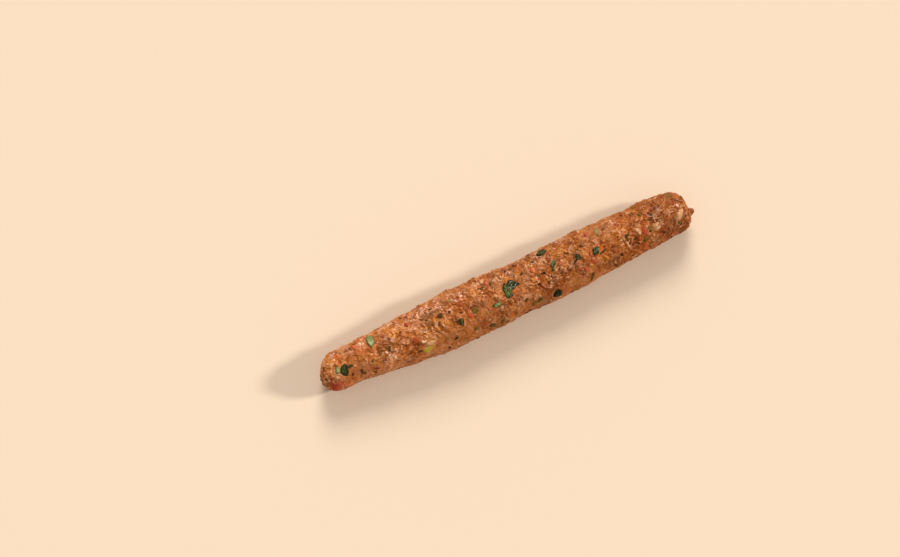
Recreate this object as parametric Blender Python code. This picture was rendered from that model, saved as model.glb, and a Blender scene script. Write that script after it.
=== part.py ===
"""Kofta kebab, taken off its skewer: one solid roll of minced meat.

Metres, +Z up. The roll lies along X on the flat face that its own weight pressed
into it, which is at Z 0. The origin is the middle of the bounding box at that face.
Its rounded end points to -X. Its blunt end points to +X and carries a torn shred.

Run with: blender --background --python part.py
"""

import math

import bmesh
import bpy
from mathutils import Vector, noise

# Driving dimensions of the roll.
BODY_LENGTH = 0.2214  # without the shred at the blunt end
BODY_WIDTH = 0.0306  # at the widest, before the dents
BODY_HEIGHT = 0.0262  # at the highest, before it settles on its base
SETTLED = 0.0022  # how much of the round underside the weight pressed flat
ROUNDNESS = 2.12  # 2 is an ellipse, and more is boxier

# Each end closes over this length. A higher bluntness keeps more width up to the tip.
ROUND_END_LENGTH = 0.0110
ROUND_END_BLUNTNESS = 2.8
BLUNT_END_LENGTH = 0.0085
BLUNT_END_BLUNTNESS = 3.0

# Sections along the roll: place from 0 to 1, share of the full width, share of the
# full height, and drift of the middle line towards +Y.
SECTIONS = (
    (0.00, 0.66, 0.73, -0.0010),
    (0.07, 0.74, 0.81, 0.0000),
    (0.14, 0.76, 0.86, -0.0003),
    (0.24, 0.92, 0.95, -0.0008),
    (0.36, 0.99, 1.00, -0.0009),
    (0.51, 0.95, 0.97, -0.0004),
    (0.67, 0.98, 1.00, 0.0000),
    (0.80, 0.90, 0.95, 0.0010),
    (0.91, 0.84, 0.92, 0.0014),
    (1.00, 0.74, 0.86, 0.0017),
)

# Dents that the hands left when they pressed the meat round a skewer.
DENT_SPACING = 0.0125
DENT_DEPTH = 0.0012
KNUCKLE_SPACING = 0.0360
KNUCKLE_DEPTH = 0.0010
KNUCKLE_SEED = Vector((3.1, 7.7, 1.9))

# The torn shred is a flap drawn out of the blunt end, to one side of its middle.
SHRED_LENGTH = 0.0044
SHRED_HALF_WIDTH = 0.0021
SHRED_HALF_HEIGHT = 0.0017
SHRED_SIDE = -0.0014
SHRED_LEVEL = -0.0020  # from the axis of the roll

# Facets.
AROUND = 46
END_RINGS = 19
BODY_RINGS = 68

MEAT_COLOUR = (0.40, 0.135, 0.044, 1.0)
MEAT_ROUGHNESS = 0.42


def clear_scene():
    """Removes every object that the scene starts with."""
    for item in list(bpy.data.objects):
        bpy.data.objects.remove(item)


def make_material():
    """Browned, moist minced meat."""
    material = bpy.data.materials.new("cooked_meat")
    material.use_nodes = True
    shader = material.node_tree.nodes["Principled BSDF"]
    shader.inputs["Base Color"].default_value = MEAT_COLOUR
    shader.inputs["Roughness"].default_value = MEAT_ROUGHNESS
    shader.inputs["Metallic"].default_value = 0.0
    material.diffuse_color = MEAT_COLOUR
    return material


def ring_place(ring):
    """Distance from the round tip, and the share of the section that an end leaves, for a ring.

    The end rings follow the curve of the end, so that the rounded ends stay as
    finely faceted as the sides.
    """
    last = 2 * END_RINGS + BODY_RINGS
    if ring < END_RINGS:
        return closed_end(ring, ROUND_END_LENGTH, ROUND_END_BLUNTNESS)
    if ring > last - END_RINGS:
        far, share = closed_end(last - ring, BLUNT_END_LENGTH, BLUNT_END_BLUNTNESS)
        return BODY_LENGTH - far, share
    straight = BODY_LENGTH - ROUND_END_LENGTH - BLUNT_END_LENGTH
    return ROUND_END_LENGTH + straight * (ring - END_RINGS) / BODY_RINGS, 1.0


def closed_end(step, length, bluntness):
    """Distance from a tip, and the share of the full section there, for a step from it.

    The angle grows faster further from the tip, so that the rings near the tip are even.
    """
    angle = 0.5 * math.pi * (step / END_RINGS) ** (0.5 * bluntness)
    share = math.sin(angle) ** (2.0 / bluntness)
    distance = length * (1.0 - math.cos(angle) ** (2.0 / bluntness))
    return distance, share


def section_at(place):
    """Width share, height share and drift at a place from 0 to 1, on smooth curves through SECTIONS."""
    after = next(i for i, row in enumerate(SECTIONS) if row[0] >= place or i == len(SECTIONS) - 1)
    after = max(after, 1)
    rows = [SECTIONS[max(0, min(len(SECTIONS) - 1, after + step))] for step in (-2, -1, 0, 1)]
    span = rows[2][0] - rows[1][0]
    share = (place - rows[1][0]) / span
    return [eased(rows, column, span, share) for column in (1, 2, 3)]


def eased(rows, column, span, share):
    """A cubic between the middle two of four rows, whose slopes follow the rows on either side."""
    low, high = rows[1][column], rows[2][column]
    slope_low = span * (high - rows[0][column]) / (rows[2][0] - rows[0][0])
    slope_high = span * (rows[3][column] - low) / (rows[3][0] - rows[1][0])
    rest = 1.0 - share
    ends = low * rest * rest * (1.0 + 2.0 * share) + high * share * share * (3.0 - 2.0 * share)
    return ends + slope_low * share * rest * rest - slope_high * share * share * rest


def rounded(cosine, sine):
    """A unit direction moved onto a unit superellipse."""
    power = 2.0 / ROUNDNESS
    across = math.copysign(abs(cosine) ** power, cosine)
    up = math.copysign(abs(sine) ** power, sine)
    return across, up


def roll_point(distance, share, cosine, sine):
    """A point on the roll's skin, before the dents, with the axis of the roll at Z 0."""
    width_share, height_share, drift = section_at(distance / BODY_LENGTH)
    across, up = rounded(cosine, sine)
    return Vector(
        (
            distance,
            drift + 0.5 * BODY_WIDTH * width_share * share * across,
            0.5 * BODY_HEIGHT * height_share * share * up,
        )
    )


def dent(point):
    """How far the skin stands proud at a point: hand dents over longer knuckle marks."""
    hand = noise.noise(point / DENT_SPACING)
    knuckle = noise.noise(point / KNUCKLE_SPACING + KNUCKLE_SEED)
    return DENT_DEPTH * hand + KNUCKLE_DEPTH * knuckle


def shred(point):
    """How far the torn shred draws the skin out along +X at a point near the blunt end."""
    if point.x < BODY_LENGTH - BLUNT_END_LENGTH:
        return 0.0
    side = (point.y - SHRED_SIDE) / SHRED_HALF_WIDTH
    level = (point.z - SHRED_LEVEL) / SHRED_HALF_HEIGHT
    return SHRED_LENGTH * math.exp(-((side * side + level * level) ** 2))


def shape_roll(mesh):
    """Moves each vertex of a unit sphere, whose poles are on Z, onto the roll."""
    last = 2 * END_RINGS + BODY_RINGS
    for vertex in mesh.verts:
        ring = round(math.acos(max(-1.0, min(1.0, -vertex.co.z))) / math.pi * last)
        distance, share = ring_place(ring)
        around = math.atan2(vertex.co.y, vertex.co.x)
        point = roll_point(distance, share, math.cos(around), math.sin(around))
        outward = Vector((0.0, point.y, point.z))
        if outward.length > 0.0:
            outward.normalize()
        vertex.co = point + outward * dent(point) + Vector((shred(point), 0.0, 0.0))


def settle(mesh):
    """Presses the underside flat at Z 0 and centres the roll over the origin."""
    lowest = -0.5 * BODY_HEIGHT + SETTLED
    for vertex in mesh.verts:
        vertex.co.z = max(vertex.co.z, lowest) - lowest
    for axis in (0, 1):
        places = [vertex.co[axis] for vertex in mesh.verts]
        middle = 0.5 * (min(places) + max(places))
        for vertex in mesh.verts:
            vertex.co[axis] -= middle


def make_kofta(collection, material):
    """The whole roll, as one object."""
    mesh = bmesh.new()
    rings = 2 * END_RINGS + BODY_RINGS
    bmesh.ops.create_uvsphere(mesh, u_segments=AROUND, v_segments=rings, radius=1.0)
    shape_roll(mesh)
    settle(mesh)
    data = bpy.data.meshes.new("kofta")
    mesh.to_mesh(data)
    mesh.free()
    data.materials.append(material)
    data.shade_smooth()
    kofta = bpy.data.objects.new("kofta", data)
    collection.objects.link(kofta)
    return kofta


def main():
    """Builds the roll in its own collection."""
    clear_scene()
    collection = bpy.data.collections.new("kofta_kebab")
    bpy.context.scene.collection.children.link(collection)
    make_kofta(collection, make_material())


main()
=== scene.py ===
"""Looks of a kofta kebab: a hand-pressed roll of browned mince with chopped herbs and vegetables.

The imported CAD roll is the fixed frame. A fine skin stands for it, whose grains Geometry Nodes
raise. Crumbs, parsley, pepper and onion lie in that skin. Sizes are in metres.
"""

import functools
import logging
import math
import random
from dataclasses import dataclass, field, replace
from enum import Enum

import bmesh
import bpy
import numpy as np
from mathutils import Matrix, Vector, noise
from mathutils.bvhtree import BVHTree


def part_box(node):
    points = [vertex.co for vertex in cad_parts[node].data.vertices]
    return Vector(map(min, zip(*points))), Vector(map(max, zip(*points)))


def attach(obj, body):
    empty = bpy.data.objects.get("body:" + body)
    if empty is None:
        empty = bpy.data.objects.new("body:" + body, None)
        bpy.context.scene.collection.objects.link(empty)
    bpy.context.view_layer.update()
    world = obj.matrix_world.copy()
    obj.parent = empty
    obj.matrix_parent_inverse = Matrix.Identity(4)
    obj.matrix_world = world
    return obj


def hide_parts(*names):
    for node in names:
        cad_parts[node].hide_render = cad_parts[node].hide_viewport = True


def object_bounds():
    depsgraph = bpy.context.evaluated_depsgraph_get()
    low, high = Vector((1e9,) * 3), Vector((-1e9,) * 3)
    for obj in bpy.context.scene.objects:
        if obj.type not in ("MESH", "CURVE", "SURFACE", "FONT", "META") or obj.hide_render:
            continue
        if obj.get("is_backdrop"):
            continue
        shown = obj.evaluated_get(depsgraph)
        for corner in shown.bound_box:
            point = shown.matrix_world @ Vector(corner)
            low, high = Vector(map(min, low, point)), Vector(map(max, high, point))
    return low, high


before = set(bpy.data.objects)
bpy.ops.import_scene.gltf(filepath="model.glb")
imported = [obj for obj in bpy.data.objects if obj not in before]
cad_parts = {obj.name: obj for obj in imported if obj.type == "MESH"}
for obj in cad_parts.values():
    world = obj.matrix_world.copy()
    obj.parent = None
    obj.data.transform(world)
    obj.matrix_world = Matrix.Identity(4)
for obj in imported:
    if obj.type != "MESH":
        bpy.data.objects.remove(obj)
CAD_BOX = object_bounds()

LOG = logging.getLogger("kofta")
BODY = "root"
NODE = "kofta"
BAKE_MAP = "OFBake"
SEAT = "seat"
PROUD = "proud"
CALM = "calm"
NEST = "nest"
TINT = "tint"
FLAT = "flat"
OUT = "out"
LEVEL = "level"

Colour = tuple[float, float, float]
Socket = bpy.types.NodeSocket
Value = Socket | float | tuple


class Slot(Enum):
    """The record's material slots."""

    MEAT = "cooked_meat"
    PARSLEY = "parsley"
    RED_PEPPER = "red_pepper"
    ONION = "onion"
    GREEN_PEPPER = "green_pepper"


class Pattern(Enum):
    """What runs through a chopped piece."""

    VEINS = "net of leaf veins"
    FIBRES = "parallel fibres"
    FLESH = "juicy flesh"


class NodeDesk:
    """Places nodes in one shader or geometry tree and links them."""

    def __init__(self, tree: bpy.types.NodeTree) -> None:
        """Starts on a tree.

        Args:
            tree: The tree that gets the nodes.
        """
        self.tree = tree

    def add(self, kind: str, inputs: dict[str, Value] | None = None, **settings: object) -> bpy.types.Node:
        """Adds a node.

        Args:
            kind: The node's type name.
            inputs: A value or a socket for each named input.
            settings: The node's own properties.

        Returns:
            The new node.
        """
        node = self.tree.nodes.new(kind)
        for name, value in settings.items():
            setattr(node, name, value)
        for name, value in (inputs or {}).items():
            self.feed(self.socket(node, name), value)
        return node

    @staticmethod
    def socket(node: bpy.types.Node, name: str) -> Socket:
        """Finds an input that is in use.

        Args:
            node: The node.
            name: The input's name.

        Returns:
            The first enabled input of that name.
        """
        return next(s for s in node.inputs if s.name == name and s.enabled)

    @staticmethod
    def out(node: bpy.types.Node, name: str) -> Socket:
        """Finds an output that is in use.

        Args:
            node: The node.
            name: The output's name.

        Returns:
            The first enabled output of that name.
        """
        return next(s for s in node.outputs if s.name == name and s.enabled)

    def feed(self, target: Socket, value: Value) -> None:
        """Links a socket to an input, or sets the input's value.

        Args:
            target: The input.
            value: A socket, a number or a tuple.
        """
        if isinstance(value, bpy.types.NodeSocket):
            self.tree.links.new(value, target)
            return
        if target.type == "RGBA" and len(value) == 3:
            value = (*value, 1.0)
        target.default_value = value

    def math(self, operation: str, first: Value, second: Value = 0.0, clamp: bool = False) -> Socket:
        """One step of arithmetic.

        Args:
            operation: The Math node's operation.
            first: The first number.
            second: The second number, where the operation has one.
            clamp: Whether the result is kept from 0 to 1.

        Returns:
            The result.
        """
        node = self.add("ShaderNodeMath", operation=operation, use_clamp=clamp)
        self.feed(node.inputs[0], first)
        if node.inputs[1].enabled:
            self.feed(node.inputs[1], second)
        return node.outputs[0]

    def vector(self, operation: str, first: Value, second: Value = (0.0, 0.0, 0.0)) -> Socket:
        """One step of vector arithmetic.

        Args:
            operation: The Vector Math node's operation.
            first: The first vector.
            second: The second vector, or the number for SCALE.

        Returns:
            The result.
        """
        node = self.add("ShaderNodeVectorMath", operation=operation)
        self.feed(node.inputs[0], first)
        self.feed(node.inputs["Scale"] if operation == "SCALE" else node.inputs[1], second)
        return node.outputs["Value"] if operation in ("DOT_PRODUCT", "LENGTH") else node.outputs["Vector"]

    def split(self, vector: Socket) -> tuple[Socket, Socket, Socket]:
        """The three parts of a vector."""
        node = self.add("ShaderNodeSeparateXYZ", {"Vector": vector})
        return node.outputs[0], node.outputs[1], node.outputs[2]

    def noise(self, vector: Value, size: Value, detail: float = 2.0, roughness: float = 0.5) -> bpy.types.Node:
        """Cloudy noise.

        Args:
            vector: Where it is read.
            size: The size of its clouds.
            detail: How many finer layers it has.
            roughness: How strong the finer layers are.

        Returns:
            The Noise Texture node.
        """
        inputs = {"Vector": vector, "Scale": self.inverse(size), "Detail": detail, "Roughness": roughness}
        return self.add("ShaderNodeTexNoise", inputs)

    def cells(self, vector: Value, size: Value, feature: str) -> bpy.types.Node:
        """Cells like packed grains.

        Args:
            vector: Where they are read.
            size: The size of one cell.
            feature: F1 or DISTANCE_TO_EDGE.

        Returns:
            The Voronoi Texture node.
        """
        inputs = {"Vector": vector, "Scale": self.inverse(size), "Randomness": 1.0}
        return self.add("ShaderNodeTexVoronoi", inputs, feature=feature)

    def inverse(self, size: Value) -> Value:
        """One over a size, which is a texture's scale."""
        if isinstance(size, bpy.types.NodeSocket):
            return self.math("DIVIDE", 1.0, size)
        return 1.0 / size

    def named(self, name: str) -> Socket:
        """A number that a geometry carries under a name."""
        return self.out(self.add("GeometryNodeInputNamedAttribute", {"Name": name}, data_type="FLOAT"), "Attribute")

    def ramp(self, value: Value, low: float, high: float, start: float = 0.0, end: float = 1.0) -> Socket:
        """A soft step.

        Args:
            value: The number that is read.
            low: Where the step starts.
            high: Where the step ends.
            start: The result up to low.
            end: The result from high.

        Returns:
            The result.
        """
        inputs = {"Value": value, "From Min": low, "From Max": high, "To Min": start, "To Max": end}
        return self.out(self.add("ShaderNodeMapRange", inputs, interpolation_type="SMOOTHSTEP"), "Result")

    def mix(self, share: Value, first: Value, second: Value, blend: str = "MIX") -> Socket:
        """Mixes two colours.

        Args:
            share: The second colour's share.
            first: The first colour.
            second: The second colour.
            blend: The Mix node's blend type.

        Returns:
            The mixed colour.
        """
        node = self.add("ShaderNodeMix", data_type="RGBA", blend_type=blend)
        self.feed(self.socket(node, "Factor"), share)
        self.feed(self.socket(node, "A"), first)
        self.feed(self.socket(node, "B"), second)
        return self.out(node, "Result")

    def palette(self, value: Socket, stops: tuple[tuple[float, Colour], ...]) -> Socket:
        """Reads a colour off a row of colours.

        Args:
            value: The place in the row, from 0 to 1.
            stops: The place and colour of each stop.

        Returns:
            The colour.
        """
        node = self.add("ShaderNodeValToRGB", {"Fac": value})
        elements = node.color_ramp.elements
        while len(elements) < len(stops):
            elements.new(1.0)
        for element, (place, colour) in zip(elements, stops):
            element.position = place
            element.color = (*colour, 1.0)
        return node.outputs["Color"]


def new_group(
    name: str,
    kind: str,
    inputs: tuple[tuple[str, str, object], ...],
    outputs: tuple[tuple[str, str], ...],
) -> tuple[NodeDesk, bpy.types.Node, bpy.types.Node]:
    """Makes a node group with named sockets.

    Args:
        name: The group's name.
        kind: ShaderNodeTree or GeometryNodeTree.
        inputs: Name, socket type and default of each input.
        outputs: Name and socket type of each output.

    Returns:
        A desk on the group, its input node and its output node.
    """
    tree = bpy.data.node_groups.new(name, kind)
    for label, socket_type, default in inputs:
        socket = tree.interface.new_socket(name=label, in_out="INPUT", socket_type=socket_type)
        if default is not None:
            socket.default_value = default
    for label, socket_type in outputs:
        tree.interface.new_socket(name=label, in_out="OUTPUT", socket_type=socket_type)
    desk = NodeDesk(tree)
    return desk, desk.add("NodeGroupInput"), desk.add("NodeGroupOutput")


@dataclass(frozen=True)
class MinceTexture:
    """Sizes of the grains that the mincer leaves, shared by the relief and the colours."""

    grain_size: float = 0.0042
    crumb_size: float = 0.0021
    warp: float = 0.0019
    grain_depth: float = 0.00050
    crumb_depth: float = 0.00028
    strand_size: float = 0.0036
    strand_depth: float = 0.00040
    thread_size: float = 0.0020
    thread_depth: float = 0.00014
    pit_size: float = 0.0080
    pit_depth: float = 0.00045
    lump_size: float = 0.0130
    lump_depth: float = 0.0008
    knob_size: float = 0.0052
    knob_depth: float = 0.00080
    calm_size: float = 0.0170
    calm_share: float = 0.60

    SCALARS = ("Grain Size", "Crumb Size", "Strand Size", "Thread Size", "Warp", "Pit Size")

    def field_values(self) -> dict[str, float]:
        """The values that the mince field's inputs take."""
        strands = (self.strand_size, self.thread_size, self.warp, self.pit_size)
        return dict(zip(self.SCALARS, (self.grain_size, self.crumb_size, *strands)))


@functools.cache
def mince_field(kind: str) -> bpy.types.NodeTree:
    """The pattern of packed grains and strands, for either kind of tree.

    Args:
        kind: ShaderNodeTree or GeometryNodeTree.

    Returns:
        A group that turns a place on the skin into grain edges, tints and strands.
    """
    texture = MinceTexture()
    scalars = tuple((name, "NodeSocketFloat", value) for name, value in texture.field_values().items())
    desk, given, result = new_group(
        f"Mince field {kind}",
        kind,
        (("Place", "NodeSocketVector", None), *scalars),
        tuple(
            (name, "NodeSocketFloat")
            for name in (
                "Grain Edge", "Grain Tint", "Grain Height", "Crumb Edge", "Crumb Tint", "Strand", "Thread", "Pit",
            )
        ),
    )
    place, grain_size, crumb_size = given.outputs["Place"], given.outputs["Grain Size"], given.outputs["Crumb Size"]
    drift = desk.vector("SUBTRACT", desk.noise(place, grain_size, 1.0).outputs["Color"], (0.5, 0.5, 0.5))
    warped = desk.vector("ADD", place, desk.vector("SCALE", drift, desk.math("MULTIPLY", given.outputs["Warp"], 2.0)))
    grain = desk.split(desk.cells(warped, grain_size, "F1").outputs["Color"])
    crumb = desk.split(desk.cells(warped, crumb_size, "F1").outputs["Color"])
    ridges = {}
    for name, width in (("Strand", 0.24), ("Thread", 0.16)):
        cloud = desk.noise(warped, given.outputs[f"{name} Size"], 1.0).outputs["Fac"]
        fold = desk.math("ABSOLUTE", desk.math("SUBTRACT", desk.math("MULTIPLY", cloud, 2.0), 1.0))
        ridges[name] = desk.ramp(fold, 0.0, width, 1.0, 0.0)
    hollow = desk.cells(warped, given.outputs["Pit Size"], "F1").outputs["Distance"]
    made = {
        "Grain Edge": desk.cells(warped, grain_size, "DISTANCE_TO_EDGE").outputs["Distance"],
        "Grain Tint": grain[0],
        "Grain Height": grain[1],
        "Crumb Edge": desk.cells(warped, crumb_size, "DISTANCE_TO_EDGE").outputs["Distance"],
        "Crumb Tint": crumb[0],
        "Pit": desk.ramp(hollow, 0.09, 0.17, 1.0, 0.0),
        **ridges,
    }
    for name, socket in made.items():
        desk.feed(result.inputs[name], socket)
    return desk.tree


@functools.cache
def grease_film() -> bpy.types.NodeTree:
    """The film of hot fat that every piece wears.

    Returns:
        A shader group that turns a place into where the film lies, its gloss and its ripples.
    """
    desk, given, result = new_group(
        "Grease film",
        "ShaderNodeTree",
        (
            ("Place", "NodeSocketVector", None),
            ("Size", "NodeSocketFloat", 0.0024),
            ("Amount", "NodeSocketFloat", 0.6),
            ("Roughness", "NodeSocketFloat", 0.45),
        ),
        (("Wet", "NodeSocketFloat"), ("Roughness", "NodeSocketFloat"), ("Ripple", "NodeSocketFloat")),
    )
    place, size = given.outputs["Place"], given.outputs["Size"]
    pools = desk.ramp(desk.noise(place, size, 2.0).outputs["Fac"], 0.38, 0.62)
    wet = desk.math("MULTIPLY", pools, given.outputs["Amount"])
    dry = desk.math("SUBTRACT", 1.0, desk.math("MULTIPLY", wet, 0.35))
    fine = desk.noise(place, desk.math("MULTIPLY", size, 0.25), 3.0, 0.6).outputs["Fac"]
    desk.feed(result.inputs["Wet"], wet)
    desk.feed(result.inputs["Roughness"], desk.math("MULTIPLY", given.outputs["Roughness"], dry))
    desk.feed(result.inputs["Ripple"], fine)
    return desk.tree


def pebble(desk: NodeDesk, edge: Socket, rim: float) -> Socket:
    """The height of a round-topped grain.

    Args:
        desk: The tree it is worked out in.
        edge: Distance from the grain's border, in cells.
        rim: The width of the rounded rim, in cells.

    Returns:
        A height from 0 in the crevice to 1 on top.
    """
    slope = desk.math("SUBTRACT", 1.0, desk.math("DIVIDE", edge, rim, clamp=True))
    return desk.math("SQRT", desk.math("SUBTRACT", 1.0, desk.math("MULTIPLY", slope, slope)))


@dataclass
class RollSkin:
    """The roll's smooth skin: a fine grid of rings and columns read off the CAD solid."""

    solid: bpy.types.Object
    body_rings: int = 436
    end_rings: int = 40
    columns: int = 184
    round_end: float = 0.0120
    blunt_end: float = 0.0150
    axis_height: float = 0.0116
    top_density: float = 0.30
    smoothing: int = 14
    nose: float = 0.0023
    nose_length: float = 0.0130
    nose_side: float = -0.0035
    nose_width: float = 0.0085
    bake_margin: float = 0.006

    def rays(self, low: float, high: float) -> tuple[np.ndarray, np.ndarray]:
        """Start and direction of the ray that finds each point of the grid.

        Args:
            low: The solid's lowest X.
            high: The solid's highest X.

        Returns:
            Starts by ring, and directions by ring and column.
        """
        turn = np.linspace(0.0, math.pi / 2, self.end_rings + 1)[1:-1]
        body = np.linspace(low + self.round_end, high - self.blunt_end, self.body_rings)
        starts = np.concatenate([np.full(turn.size, body[0]), body, np.full(turn.size, body[-1])])
        tilt = np.concatenate([math.pi / 2 - turn, np.zeros(body.size), turn])
        along = np.concatenate([-np.ones(turn.size), np.zeros(body.size), np.ones(turn.size)])
        round_ = np.linspace(0.0, 2 * math.pi, self.columns, endpoint=False)
        round_ = round_ + self.top_density * np.sin(round_)
        across = np.stack([np.zeros_like(round_), np.sin(round_), -np.cos(round_)], axis=1)
        aim = np.cos(tilt)[:, None, None] * across[None]
        aim[:, :, 0] = (np.sin(tilt) * along)[:, None]
        return starts, aim

    def grid(self) -> np.ndarray:
        """Points of the skin, by ring and column, smoothed over the solid's facets."""
        mesh = bmesh.new()
        mesh.from_mesh(self.solid.data)
        bmesh.ops.remove_doubles(mesh, verts=mesh.verts, dist=1e-6)
        tree = BVHTree.FromBMesh(mesh)
        mesh.free()
        low, high = (corner[0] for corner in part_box(self.solid.name))
        starts, aim = self.rays(low, high)
        reach = np.empty(aim.shape[:2])
        for ring, start in enumerate(starts):
            origin = Vector((start, 0.0, self.axis_height))
            for column in range(self.columns):
                reach[ring, column] = tree.ray_cast(origin, Vector(aim[ring, column]))[3]
        self.tips = [
            tree.ray_cast(Vector((start, 0.0, self.axis_height)), Vector((way, 0.0, 0.0)))[0]
            for start, way in ((starts[0], -1.0), (starts[-1], 1.0))
        ]
        for _ in range(self.smoothing):
            padded = np.pad(np.pad(reach, ((0, 0), (1, 1)), mode="wrap"), ((1, 1), (0, 0)), mode="edge")
            reach = 0.5 * reach + 0.125 * (
                padded[2:, 1:-1] + padded[:-2, 1:-1] + padded[1:-1, 2:] + padded[1:-1, :-2]
            )
        points = aim * reach[:, :, None]
        points[:, :, 0] += starts[:, None]
        points[:, :, 2] += self.axis_height
        points[:, :, 2] = np.maximum(points[:, :, 2], 0.0)
        points = self.draw_nose(points, low)
        self.tips = [Vector(self.draw_nose(np.array(tip), low)) for tip in self.tips]
        return points

    def draw_nose(self, points: np.ndarray, low: float) -> np.ndarray:
        """Draws the rounded end out a little, to one side of its middle.

        Args:
            points: Places on the skin, in the last axis.
            low: The solid's lowest X.

        Returns:
            The same places, with those of the rounded end moved.
        """
        near = np.clip((low + self.nose_length - points[..., 0]) / self.nose_length, 0.0, 1.0)
        side = (points[..., 1] - self.nose_side) / self.nose_width
        drawn = points.copy()
        drawn[..., 0] -= self.nose * near * near * (3.0 - 2.0 * near) * np.exp(-side * side)
        return drawn

    def build(self) -> bpy.types.Object:
        """The skin as an object, with its own unrolled map for baking."""
        points = self.grid()
        rings, columns = points.shape[:2]
        verts = [*map(tuple, points.reshape(-1, 3)), *map(tuple, self.tips)]
        first_tip, last_tip = len(verts) - 2, len(verts) - 1
        faces, places = [], []
        for ring in range(-1, rings):
            for column in range(columns):
                after = (column + 1) % columns
                here, there = ring * columns, (ring + 1) * columns
                if ring < 0:
                    faces.append((first_tip, column, after)[::-1])
                    places.append([(ring, column + 0.5), (0, column), (0, column + 1)][::-1])
                elif ring == rings - 1:
                    faces.append((here + column, here + after, last_tip))
                    places.append([(ring, column), (ring, column + 1), (rings, column + 0.5)])
                else:
                    faces.append((here + column, here + after, there + after, there + column))
                    places.append(
                        [(ring, column), (ring, column + 1), (ring + 1, column + 1), (ring + 1, column)]
                    )
        mesh = bpy.data.meshes.new("kofta_meat")
        mesh.from_pydata(verts, [], faces)
        self.unroll(mesh, places, rings)
        mesh.shade_smooth()
        skin = bpy.data.objects.new("kofta_meat", mesh)
        bpy.context.scene.collection.objects.link(skin)
        return skin

    def unroll(self, mesh: bpy.types.Mesh, places: list, rings: int) -> None:
        """Lays the grid out flat in two strips, one for each half of the roll.

        Args:
            mesh: The skin's mesh.
            places: Ring and column of each face's corners.
            rings: The number of rings.
        """
        layer = mesh.uv_layers.new(name=BAKE_MAP)
        half = rings // 2
        room = 1.0 - 2 * self.bake_margin
        flat = []
        for corners in places:
            strip = int(min(ring for ring, _ in corners) >= half)
            for ring, column in corners:
                along = (ring - strip * half + 1) / (half + 2)
                around = column / self.columns
                flat += [self.bake_margin + room * along]
                flat += [0.5 * strip + 0.5 * (self.bake_margin + room * around)]
        layer.data.foreach_set("uv", flat)


class GeometryTree:
    """A Geometry Nodes tree with named inputs, applied to an object as a plain mesh."""

    def __init__(self, name: str, inputs: dict[str, float]) -> None:
        """Starts a tree.

        Args:
            name: The tree's name.
            inputs: Name and value of each size that drives it.
        """
        self.values = inputs
        scalars = tuple((label, "NodeSocketFloat", value) for label, value in inputs.items())
        self.desk, self.given, self.result = new_group(
            name,
            "GeometryNodeTree",
            (("Geometry", "NodeSocketGeometry", None), *scalars),
            (("Geometry", "NodeSocketGeometry"),),
        )

    def store(self, geometry: Socket, domain: str, **values: Value) -> Socket:
        """Stores named attributes.

        Args:
            geometry: What carries them.
            domain: POINT or INSTANCE.
            values: A number or a vector socket for each name.

        Returns:
            The geometry with the attributes.
        """
        for name, value in values.items():
            vector = isinstance(value, bpy.types.NodeSocket) and value.type == "VECTOR"
            node = self.desk.add(
                "GeometryNodeStoreNamedAttribute",
                {"Geometry": geometry, "Name": name, "Value": value},
                data_type="FLOAT_VECTOR" if vector else "FLOAT",
                domain=domain,
            )
            geometry = node.outputs[0]
        return geometry

    def finish(self, geometry: Socket, material: bpy.types.Material) -> None:
        """Realizes what the tree made and gives it its material.

        Args:
            geometry: What the tree made.
            material: The material.
        """
        whole = self.desk.add("GeometryNodeRealizeInstances", {"Geometry": geometry})
        smooth = self.desk.add("GeometryNodeSetShadeSmooth", {"Geometry": whole.outputs[0]})
        dressed = self.desk.add("GeometryNodeSetMaterial", {"Geometry": smooth.outputs[0]})
        dressed.inputs["Material"].default_value = material
        self.desk.feed(self.result.inputs["Geometry"], dressed.outputs[0])

    def apply(self, item: bpy.types.Object) -> None:
        """Runs the tree on an object and keeps the result as the object's mesh.

        Args:
            item: The object that the tree works on.
        """
        modifier = item.modifiers.new(self.desk.tree.name, "NODES")
        modifier.node_group = self.desk.tree
        for socket in self.desk.tree.interface.items_tree:
            if socket.in_out == "INPUT" and socket.name in self.values:
                modifier[socket.identifier] = self.values[socket.name]
        evaluated = item.evaluated_get(bpy.context.evaluated_depsgraph_get())
        made = bpy.data.meshes.new_from_object(evaluated)
        made.name = item.name
        item.modifiers.remove(modifier)
        item.data = made


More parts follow.
